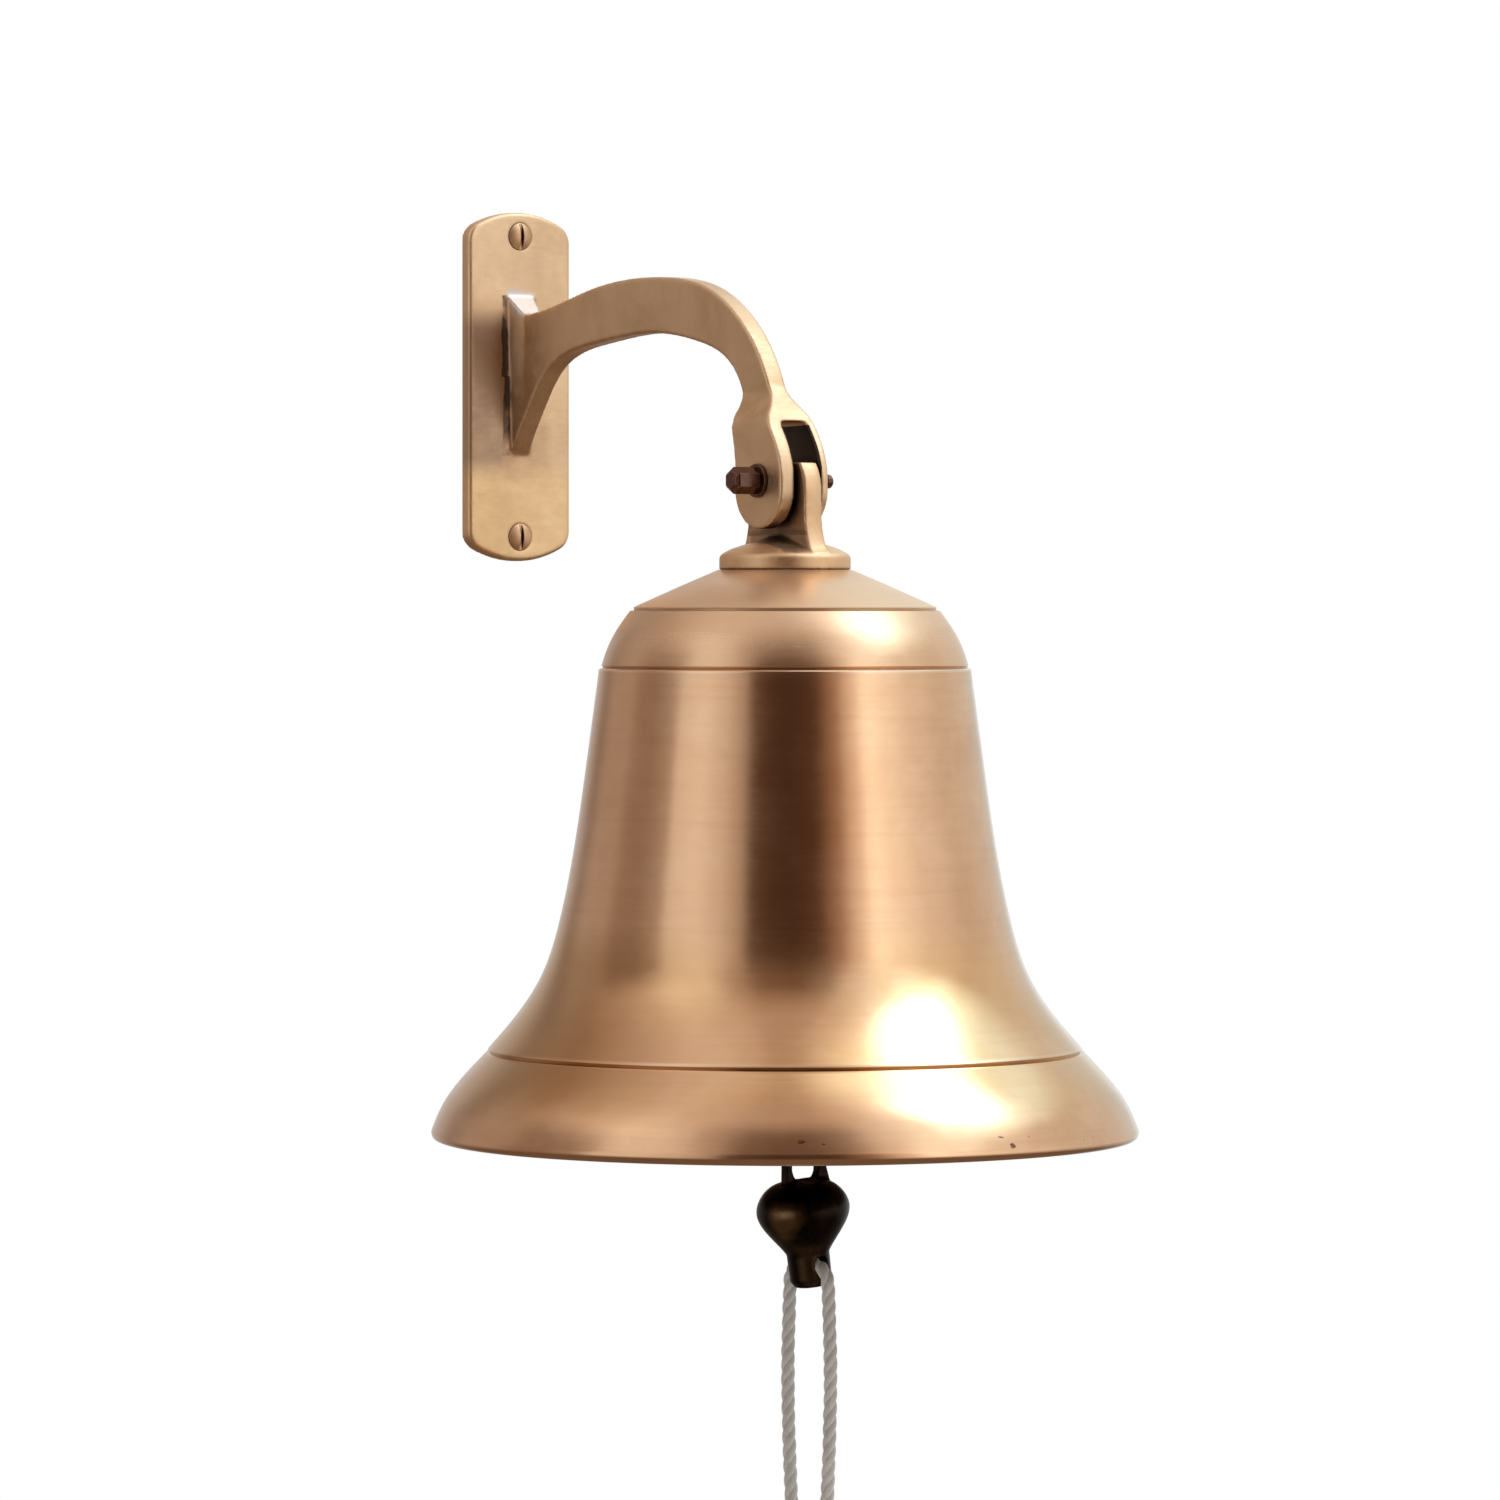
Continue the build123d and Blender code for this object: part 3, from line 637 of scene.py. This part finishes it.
# ------------------------------------------------------------------ the room that the metal mirrors
# rings at three heights: degrees round from the camera to the right, brightness, warmth
LOW_RING = (
    (-180, 0.74, 0.0), (-170, 0.64, 0.05), (-158, 0.50, 0.1), (-140, 0.31, 0.35), (-125, 0.43, 0.3),
    (-110, 0.43, 0.35), (-97, 0.31, 0.5), (-86, 0.30, 0.5), (-77, 0.36, 0.4), (-71, 0.42, 0.3),
    (-65, 0.80, 0.05), (-50, 0.88, 0.0), (-38, 0.74, 0.1), (-26, 0.52, 0.3), (-18, 0.09, 0.95),
    (2, 0.065, 1.0), (17, 0.085, 1.0), (29, 0.34, 0.85), (39, 0.80, 0.35), (50, 1.40, 0.0),
    (62, 1.12, 0.0), (84, 0.84, 0.05), (108, 0.68, 0.1), (134, 0.70, 0.0), (158, 0.66, -0.2),
    (170, 0.88, -0.3))
MIDDLE_RING = (
    (-180, 0.74, 0.2), (-155, 0.45, 0.4), (-135, 0.34, 0.5), (-120, 0.38, 0.5), (-104, 0.56, 0.35),
    (-85, 0.74, 0.25), (-65, 1.0, 0.05), (-45, 0.86, 0.1), (-28, 0.45, 0.4), (-12, 0.20, 0.7),
    (8, 0.17, 0.8), (22, 0.30, 0.5), (38, 0.85, 0.1), (55, 1.15, -0.2), (68, 1.6, -0.5), (86, 2.0, -0.6),
    (105, 1.3, -0.6), (122, 1.0, -0.6), (145, 1.0, -0.5), (170, 0.95, -0.3))
HIGH_RING = (
    (-180, 0.58, 0.3), (-112, 0.60, 0.35), (-66, 0.74, 0.2), (-37, 0.66, 0.3), (-13, 0.50, 0.45),
    (13, 0.50, 0.45), (35, 0.72, 0.3), (55, 1.0, 0.05), (75, 1.3, -0.2), (95, 1.7, -0.3),
    (115, 1.6, -0.3), (135, 1.1, -0.2), (160, 0.8, 0.0))
KEY_HEART = (3.4, 3.6, 4.3)                   # middle of the overhead soft box, as the metal mirrors it
DARK_GROUND = (0.17, 0.12, 0.09)


# ------------------------------------------------------------------ operators: one for each piece or group
class SHIPBELL_OT_stage(bpy.types.Operator):
    """Camera, soft studio light and a pale floor"""

    bl_idname = "ship_bell.stage"
    bl_label = "Set the stage"
    KEY_SIDE = RIGHTWARD * 0.56 + Vector((0, 0, 0.83))

    def execute(self, context):
        scene, settings = context.scene, context.scene.ship_bell
        self.camera(scene)
        scene.view_settings.view_transform = "Standard"
        self.floor(scene)
        self.soft_box(scene, settings)
        self.studio(scene)
        return {"FINISHED"}

    def camera(self, scene):
        """A level camera at the height of the crown, ten millimetres left of the bell's axis."""
        distance, across, eye_z = 2.023, 0.01006, -0.0667
        data = bpy.data.cameras.new("camera")
        data.sensor_width = 36.0
        data.lens = 168.96
        data.shift_y = -0.0953
        data.clip_end = 50
        camera = bpy.data.objects.new("camera", data)
        spot = BELL_AXIS - AWAY * distance - RIGHTWARD * across
        camera.location = (spot.x, spot.y, eye_z)
        camera.rotation_euler = (pi / 2, 0, -VIEW_TURN)
        scene.collection.objects.link(camera)
        scene.camera = camera

    def floor(self, scene):
        """A pale round floor far below the bell, wide enough to hide its own edge."""
        level, reach, sides = -3.2, 11.0, 96
        edge = [(reach * cos(tau * k / sides), reach * sin(tau * k / sides), level) for k in range(sides)]
        mesh = bpy.data.meshes.new("floor")
        mesh.from_pydata(edge, [], [tuple(range(sides))])
        floor = bpy.data.objects.new("floor", mesh)
        scene.collection.objects.link(floor)
        s = Shader("pale_floor", roughness=0.8)
        grain = s.noise(s.object_point(), 3.0)
        tone = s.blend(grain, (0.93, 0.93, 0.92), (0.96, 0.96, 0.95))
        mesh.materials.append(s.finish(tone, s.ramp(grain, 0, 1, 0.7, 0.9)))
        floor.visible_glossy = False                # the metal mirrors the darker lower room instead

    def soft_box(self, scene, settings):
        """One large soft box, high on the right."""
        target = BELL_AXIS + Vector((0, 0, RIM_Z + 20 * MM))
        away = 1.7
        data = bpy.data.lights.new("key_soft_box", "AREA")
        data.shape = "DISK"
        data.size = 0.9
        data.energy = settings.key_power
        light = bpy.data.objects.new("key_soft_box", data)
        light.visible_glossy = False                # its reflection is painted softly in the room
        light.location = target + self.KEY_SIDE.normalized() * away
        light.rotation_euler = self.KEY_SIDE.to_track_quat("Z", "Y").to_euler()
        scene.collection.objects.link(light)

    def studio(self, scene):
        """Soft boxes and dark gaps all round as a sky; the camera itself sees plain white."""
        world = bpy.data.worlds.new("studio")
        scene.world = world
        s = Shader(world)
        direction = s.add("ShaderNodeTexCoord").outputs["Generated"]
        turn = s.math("ARCTAN2", s.dot(direction, tuple(RIGHTWARD)), s.dot(direction, tuple(-AWAY)))
        share = s.math("ADD", s.math("DIVIDE", turn, tau), 0.5)
        height = s.split(direction)[2]
        low, middle, high = [self.ring(s, share, stops) for stops in (LOW_RING, MIDDLE_RING, HIGH_RING)]
        sky = s.blend(s.ramp(height, 0.48, 0.66), low, middle)
        sky = s.blend(s.ramp(height, 0.72, 0.90), sky, high)
        near = s.dot(direction, tuple(self.KEY_SIDE.normalized()))
        heart = s.ramp(near, cos(radians(19)), cos(radians(4)), curve="SMOOTHERSTEP")
        sky = s.blend(heart, sky, KEY_HEART)
        room = s.blend(s.ramp(height, -0.10, -0.45), sky, DARK_GROUND)
        lit = s.add("ShaderNodeBackground", {"Color": room, "Strength": 1.0})
        plain = s.add("ShaderNodeBackground", {"Color": (1, 1, 1, 1), "Strength": 1.0})
        seen = s.add("ShaderNodeLightPath").outputs["Is Camera Ray"]
        mixed = s.add("ShaderNodeMixShader", {0: seen, 1: lit.outputs[0], 2: plain.outputs[0]})
        s.add("ShaderNodeOutputWorld", {"Surface": mixed.outputs[0]})

    def ring(self, s, share, stops):
        """Brightness all round the room at one height, as a smooth ramp that closes on itself."""
        ramp_node = s.add("ShaderNodeValToRGB", {"Fac": share})
        ramp = ramp_node.color_ramp
        ramp.interpolation = "EASE"
        stops = stops + ((180, *stops[0][1:]),)
        while len(ramp.elements) < len(stops):
            ramp.elements.new(0.5)
        for element, (angle, level, warm) in zip(ramp.elements, stops):
            element.position = angle / 360 + 0.5
            element.color = (level, level * (1 - 0.45 * warm), level * (1 - 0.65 * warm), 1)
        return ramp_node.outputs[0]


class SHIPBELL_OT_lanyard(bpy.types.Operator):
    """One cotton cord, doubled through the clapper's spigot, wrapped into a knot with two short tails"""

    bl_idname = "ship_bell.lanyard"
    bl_label = "Add the lanyard"

    def execute(self, context):
        settings = context.scene.ship_bell
        colour = tuple(settings.cord_colour)
        material = cotton("cotton_cord", colour, tinted(colour, 0.72))
        lay = settings.rope_lay
        extras = [self.knot(material, lay)]
        for name, side, seed in (("front", -1, 11), ("back", 1, 12)):
            line = nurbs_line(name + "_tail_line", strand_route(TAIL, side))
            shape, _ = laid_rope(line, CORD_D, lay, seed, fray=0.9)
            extras.append(self.rope(f"lanyard_{name}_tail_rope", shape, material, f"lanyard_{name}_tail"))
        for name, side, seed in (("front", -1, 21), ("back", 1, 22)):
            line = nurbs_line(name + "_line", strand_route(STRAND, side))
            shape, length = laid_rope(line, CORD_D, lay, seed)
            rope = self.rope(f"lanyard_{name}_rope", shape, material, f"lanyard_{name}_strand")
        return {"FINISHED"}

    def rope(self, name, shape, material, node):
        """One piece of the cord, in place of its plain CAD node."""
        return new_piece(name, shape, "lanyard", [material], (node,), smooth_angle=50)

    def knot(self, material, lay):
        """Three wraps of the cord round both strands."""
        turns, start, across, deep, rise = 3.0, 0.6, 4.3 * MM, 5.6 * MM, 9.0 * MM
        steps = 120
        line = []
        for i in range(steps + 1):
            share = i / steps
            angle = tau * turns * share + start
            wide = 0.55 + 0.45 * min(1.0, share * 9, (1 - share) * 9)       # both ends tucked in
            line.append(KNOT_MID + Vector((across * cos(angle) * wide, deep * sin(angle) * wide,
                                           rise * (0.5 - share))))
        shape, _ = laid_rope(line, CORD_D * 0.97, lay, 31)
        return self.rope("lanyard_knot_wraps", shape, material, "lanyard_knot")


# bell profile in mm: radius, height above the rim
CROWN_TOP = [(5.0, 158.3), (5.0, BELL_HEIGHT), (19.2, BELL_HEIGHT), (31.0, 158.2), (43.0, 152.8)]
UPPER_GROOVE = [(43.55, 152.45), (43.45, 152.15), (43.4, 151.75), (43.9, 151.6)]
SHOULDER = [(44.6, 151.45), (49.0, 145.0), (51.9, 138.5), (52.7, 135.9)]
MIDDLE_GROOVE = [(52.6, 135.6), (52.3, 135.35), (52.5, 135.1), (53.3, 134.85), (53.55, 134.6), (53.6, 134.2)]
WAIST = [(53.6, 133.6), (57.0, 108.3), (60.3, 85.4), (64.8, 62.5), (70.2, 46.4), (79.4, 32.7), (85.2, 26.0)]
LOWER_GROOVE = [(85.3, 25.8), (84.95, 25.45), (84.9, 25.2), (85.4, 24.95), (86.0, 24.75)]
FLARE = [(86.15, 24.55), (91.5, 18.9), (98.4, 9.7), (101.5, 2.6)]
LIP = [(101.52, 1.9), (101.3, 1.0), (100.4, 0.2), (98.8, -0.2), (97.2, 0.1)]
INNER_WALL = [(96.5, 0.7), (92.5, 7.0), (83.4, 18.4), (73.0, 32.0), (64.6, 46.0), (59.8, 62.5), (55.6, 85.4),
              (52.4, 108.3), (49.4, 131.0)]
INNER_CROWN = [(49.2, 131.9), (47.4, 140.0), (41.8, 148.0), (34.0, 152.8), (22.0, 158.3)]


class SHIPBELL_OT_bell(bpy.types.Operator):
    """The turned bell shell, with its three grooves and rounded lip"""

    bl_idname = "ship_bell.bell"
    bl_label = "Add the bell"

    def execute(self, context):
        settings = context.scene.ship_bell
        outside = CROWN_TOP + UPPER_GROOVE + natural_spline(SHOULDER, 40)
        outside += MIDDLE_GROOVE + natural_spline(WAIST, 120)
        outside += LOWER_GROOVE + natural_spline(FLARE, 40) + natural_spline(LIP, 12)
        inside = natural_spline(INNER_WALL, 90) + natural_spline(INNER_CROWN, 30)
        profile = [(r * MM, RIM_Z + h * MM) for r, h in outside + inside]
        shape = lathe(profile, BELL_AXIS, settings.segments)
        piece = new_piece("bell_shell", shape, "bell", bell_brass(settings), ("bell",),
                          smooth_angle=32)
        for polygon in piece.data.polygons:
            polygon.material_index = 1 if polygon.index % len(profile) >= len(outside) else 0
        return {"FINISHED"}


# swell where the hanger's cap rises to its lug, in mm: radius, height in the frame
CAP_SWELL = [(0.5, -52.4), (18.2, -52.2), (17.6, -51.1), (15.5, -50.0), (12.5, -49.0), (9.0, -48.0),
             (6.0, -47.0), (4.2, -46.4), (0.5, -46.4)]


class SHIPBELL_OT_hanger(bpy.types.Operator):
    """Hanger casting with lug and cap, and the nut and washer inside the crown"""

    bl_idname = "ship_bell.hanger"
    bl_label = "Add the hanger"

    def execute(self, context):
        settings = context.scene.ship_bell
        brass = bracket_brass(settings, "hanger_brass", (1.02, 0.97, 0.93), HANGER_SHADE)
        swell = lathe([(r * MM, z * MM) for r, z in CAP_SWELL], BELL_AXIS, 96)
        softened("hanger", "hanger_casting", "bell", brass, voxel=0.38 * MM,
                 rounds=10, swell=swell)
        bronze = dark_bronze("crown_bronze")
        softened("crown_nut", "crown_nut_worn", "bell", bronze, voxel=0.3 * MM, rounds=3)
        softened("crown_washer", "crown_washer_worn", "bell", bronze, voxel=0.3 * MM, rounds=2)
        low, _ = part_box("crown_nut")
        start = Vector((0, BELL_AXIS.y, low.z - 0.4 * MM))
        ridge = thread(start, Vector((0, 0, -1)), radius=4.85 * MM, pitch=1.5 * MM, turns=7, height=0.35 * MM)
        new_piece("stud_thread", ridge, "bell", [brass], (), smooth_angle=30)
        return {"FINISHED"}


class SHIPBELL_OT_bracket(bpy.types.Operator):
    """Wall bracket casting and its two slotted wood screws"""

    bl_idname = "ship_bell.bracket"
    bl_label = "Add the wall bracket"

    def execute(self, context):
        settings = context.scene.ship_bell
        brass = bracket_brass(settings, painted_light=BRACKET_LIGHT_AND_SHADE)
        softened("wall_bracket", "bracket_casting", "bracket", brass,
                 voxel=settings.casting_skin, rounds=6)
        screw = bracket_brass(settings, "screw_brass", (0.86, 0.78, 0.74))
        for which in ("upper", "lower"):
            node = f"{which}_wall_screw"
            softened(node, f"{which}_screw_body", "bracket", screw,
                     voxel=0.16 * MM, rounds=3)
            low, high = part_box(node)
            start = Vector(((low.x + high.x) / 2, 3.0 * MM, (low.z + high.z) / 2))
            ridge = thread(start, Vector((0, 1, 0)), radius=1.85 * MM, pitch=1.9 * MM, turns=8.6,
                           height=0.55 * MM, taper=0.45)
            new_piece(f"{which}_screw_thread", ridge, "bracket", [screw], (),
                      smooth_angle=30)
        return {"FINISHED"}


class SHIPBELL_OT_pivot(bpy.types.Operator):
    """Pivot bolt with its tall hexagon head, washers and nut"""

    bl_idname = "ship_bell.pivot"
    bl_label = "Add the pivot bolt"

    def execute(self, context):
        bronze = dark_bronze()
        softened("pivot_bolt", "pivot_bolt_worn", "bracket", bronze, voxel=0.2 * MM, rounds=4)
        softened("pivot_nut", "pivot_nut_worn", "bracket", bronze, voxel=0.18 * MM, rounds=3)
        for which in ("head", "nut"):
            softened(f"pivot_washer_{which}", f"{which}_washer_worn", "bracket", bronze,
                     voxel=0.16 * MM, rounds=2)
        _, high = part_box("pivot_nut")
        start = Vector((high.x + 0.3 * MM, PIN.y, PIN.z))
        ridge = thread(start, Vector((1, 0, 0)), radius=1.95 * MM, pitch=0.7 * MM, turns=3.4,
                       height=0.22 * MM)
        new_piece("pivot_bolt_thread", ridge, "bracket", [bronze], (), smooth_angle=30)
        return {"FINISHED"}


class SHIPBELL_OT_clapper(bpy.types.Operator):
    """Clapper rod with an eye at each end, and the dark pear-shaped striker"""

    bl_idname = "ship_bell.clapper"
    bl_label = "Add the clapper"

    def execute(self, context):
        wire = dark_bronze("rod_bronze")
        softened("clapper_rod", "clapper_rod_wire", "clapper_rod", wire, voxel=0.3 * MM,
                 rounds=4)
        striker = clapper_bronze()
        softened("clapper_ball", "clapper_striker", "clapper_ball", striker, voxel=0.3 * MM,
                 rounds=6)
        return {"FINISHED"}


class SHIPBELL_PT_sidebar(bpy.types.Panel):
    """Sizes, colours and the steps that build the bell"""

    bl_idname = "SHIPBELL_PT_sidebar"
    bl_label = "Ship bell"
    bl_space_type = "VIEW_3D"
    bl_region_type = "UI"
    bl_category = "Ship bell"

    def draw(self, context):
        settings = context.scene.ship_bell
        for name in ShipBellSettings.__annotations__:
            self.layout.prop(settings, name)
        for step in STEPS:
            self.layout.operator(step.bl_idname)


STEPS = (SHIPBELL_OT_stage, SHIPBELL_OT_lanyard, SHIPBELL_OT_bracket, SHIPBELL_OT_pivot, SHIPBELL_OT_hanger,
         SHIPBELL_OT_bell, SHIPBELL_OT_clapper)
CLASSES = (ShipBellSettings, *STEPS, SHIPBELL_PT_sidebar)


def register():
    for cls in CLASSES:
        bpy.utils.register_class(cls)
    bpy.types.Scene.ship_bell = PointerProperty(type=ShipBellSettings)


def unregister():
    del bpy.types.Scene.ship_bell
    for cls in reversed(CLASSES):
        bpy.utils.unregister_class(cls)


def main():
    register()
    bpy.ops.ship_bell.stage()
    bpy.ops.ship_bell.lanyard()
    bpy.ops.ship_bell.bracket()
    bpy.ops.ship_bell.pivot()
    bpy.ops.ship_bell.hanger()
    bpy.ops.ship_bell.bell()
    bpy.ops.ship_bell.clapper()


if __name__ == "__main__":
    main()
